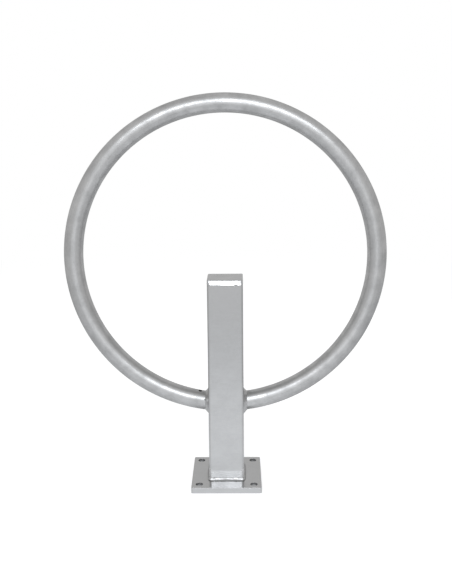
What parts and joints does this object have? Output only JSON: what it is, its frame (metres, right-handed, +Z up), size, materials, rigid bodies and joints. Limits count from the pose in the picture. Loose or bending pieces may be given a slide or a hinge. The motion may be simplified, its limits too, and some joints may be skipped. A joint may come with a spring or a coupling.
{
  "type": "hoop bike rack",
  "caption": "Ring of bent round tube welded to the sides of a square upright post on a bolt-down base plate, for leaning and locking bicycles.",
  "frame": {"origin": "centre of the base plate's underside, on the ground", "axes": "+Z up along the post; the ring lies in the XZ plane; -Y is the front that the picture shows"},
  "size_m": [0.812, 0.18, 1],
  "materials": {
    "galvanised_hoop": "hot-dip galvanised, bright, with faint lines along the tube",
    "galvanised_post": "hot-dip galvanised, dull satin",
    "galvanised_plate": "hot-dip galvanised, dull satin",
    "galvanised_weld": "weld bead under bright zinc"
  },
  "bodies": {
    "root": {"base_plate": "galvanised_plate", "post_tube": "galvanised_post", "post_cap": "galvanised_post", "hoop_tube": "galvanised_hoop", "hoop_weld_left": "galvanised_weld", "hoop_weld_right": "galvanised_weld", "foot_weld_front": "galvanised_weld", "foot_weld_back": "galvanised_weld", "foot_weld_left": "galvanised_weld", "foot_weld_right": "galvanised_weld", "cap_weld_front": "galvanised_weld", "cap_weld_back": "galvanised_weld", "cap_weld_left": "galvanised_weld", "cap_weld_right": "galvanised_weld"}
  },
  "joints": []
}
